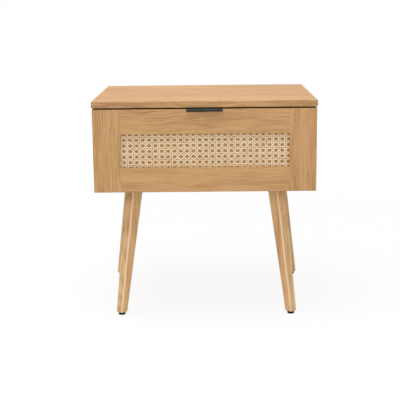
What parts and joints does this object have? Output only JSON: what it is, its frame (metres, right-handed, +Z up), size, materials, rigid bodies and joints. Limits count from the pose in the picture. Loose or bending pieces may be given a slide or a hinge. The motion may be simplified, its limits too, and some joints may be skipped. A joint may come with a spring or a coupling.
{
  "type": "nightstand",
  "caption": "Low bedside table: a box with a slab top, a full-width overlay drawer whose front frames a cane window, a black edge pull, and splayed tapered legs with glides.",
  "frame": {"origin": "on the floor, below the middle of the top", "axes": "+X to the right seen from the front, -Y towards the front (the drawer opens along -Y), +Z up"},
  "size_m": [0.5, 0.405, 0.5],
  "materials": {
    "oak_top": "matt lacquered natural oak veneer",
    "oak_case": "matt lacquered natural oak veneer",
    "back_board": "thin veneered board, matt",
    "oak_front": "matt lacquered natural oak veneer",
    "cane": "natural woven cane webbing, satin",
    "cane_board": "thin brown board behind the cane, matt",
    "bead_wood": "plain wood bead, matt",
    "drawer_board": "foil-faced particle board, matt",
    "drawer_base": "thin hardboard with pale face, matt",
    "black_metal": "black powder coat, satin",
    "slide_steel": "bright zinc plate",
    "cage_steel": "pressed zinc strip",
    "ball_steel": "polished steel",
    "screw_zinc": "bright zinc plate",
    "cam_metal": "die-cast zinc, matt",
    "leg_wood": "lacquered solid rubberwood stained oak, matt",
    "plate_steel": "black powder coat",
    "glide_plastic": "black moulded plastic",
    "dowel_wood": "fluted beech, bare",
    "buffer_rubber": "soft clear-grey rubber"
  },
  "bodies": {
    "case": {"top_panel": "oak_top", "side_panel_left": "oak_case", "side_panel_right": "oak_case", "bottom_panel": "oak_case", "back_panel": "back_board", "slide_outer_left": "slide_steel", "slide_outer_right": "slide_steel", "slide_screws_case": "screw_zinc", "leg_front_left": "leg_wood", "leg_front_right": "leg_wood", "leg_back_left": "leg_wood", "leg_back_right": "leg_wood", "leg_plate_front_left": "plate_steel", "leg_plate_front_right": "plate_steel", "leg_plate_back_left": "plate_steel", "leg_plate_back_right": "plate_steel", "leg_plate_screws": "screw_zinc", "leg_bolts": "screw_zinc", "glide_front_left": "glide_plastic", "glide_front_right": "glide_plastic", "glide_back_left": "glide_plastic", "glide_back_right": "glide_plastic", "glide_nails": "screw_zinc", "cam_locks": "cam_metal", "cam_posts": "screw_zinc", "wood_dowels": "dowel_wood", "back_screws": "screw_zinc", "drawer_buffers": "buffer_rubber"},
    "drawer": {"drawer_stile_left": "oak_front", "drawer_stile_right": "oak_front", "drawer_rail_top": "oak_front", "drawer_rail_bottom": "oak_front", "cane_webbing": "cane", "cane_backing_board": "cane_board", "cane_retaining_beads": "bead_wood", "drawer_side_left": "drawer_board", "drawer_side_right": "drawer_board", "drawer_box_front": "drawer_board", "drawer_box_back": "drawer_board", "drawer_bottom": "drawer_base", "edge_pull": "black_metal", "edge_pull_screws": "black_metal", "slide_inner_left": "slide_steel", "slide_inner_right": "slide_steel", "slide_screws_drawer": "screw_zinc", "drawer_box_screws": "screw_zinc", "drawer_face_screws": "screw_zinc"},
    "middle_member_left": {"slide_middle_left": "slide_steel"},
    "outer_ball_row_left": {"outer_cage_left": "cage_steel", "outer_balls_left": "ball_steel"},
    "inner_ball_row_left": {"inner_cage_left": "cage_steel", "inner_balls_left": "ball_steel"},
    "middle_member_right": {"slide_middle_right": "slide_steel"},
    "outer_ball_row_right": {"outer_cage_right": "cage_steel", "outer_balls_right": "ball_steel"},
    "inner_ball_row_right": {"inner_cage_right": "cage_steel", "inner_balls_right": "ball_steel"}
  },
  "joints": [
    {"name": "drawer_slide", "type": "slide", "parent": "case", "child": "drawer", "axis": [0, -1, 0], "range_m": [0, 0.35]},
    {"name": "middle_member_left_slide", "type": "slide", "parent": "case", "child": "middle_member_left", "axis": [0, -1, 0], "range_m": [0, 0.175]},
    {"name": "outer_ball_row_left_slide", "type": "slide", "parent": "case", "child": "outer_ball_row_left", "axis": [0, -1, 0], "range_m": [0, 0.0875]},
    {"name": "inner_ball_row_left_slide", "type": "slide", "parent": "case", "child": "inner_ball_row_left", "axis": [0, -1, 0], "range_m": [0, 0.2625]},
    {"name": "middle_member_right_slide", "type": "slide", "parent": "case", "child": "middle_member_right", "axis": [0, -1, 0], "range_m": [0, 0.175]},
    {"name": "outer_ball_row_right_slide", "type": "slide", "parent": "case", "child": "outer_ball_row_right", "axis": [0, -1, 0], "range_m": [0, 0.0875]},
    {"name": "inner_ball_row_right_slide", "type": "slide", "parent": "case", "child": "inner_ball_row_right", "axis": [0, -1, 0], "range_m": [0, 0.2625]}
  ],
  "couplings": [
    {"joint": "middle_member_left_slide", "follows": "drawer_slide", "ratio": 0.5},
    {"joint": "outer_ball_row_left_slide", "follows": "drawer_slide", "ratio": 0.25},
    {"joint": "inner_ball_row_left_slide", "follows": "drawer_slide", "ratio": 0.75},
    {"joint": "middle_member_right_slide", "follows": "drawer_slide", "ratio": 0.5},
    {"joint": "outer_ball_row_right_slide", "follows": "drawer_slide", "ratio": 0.25},
    {"joint": "inner_ball_row_right_slide", "follows": "drawer_slide", "ratio": 0.75}
  ]
}
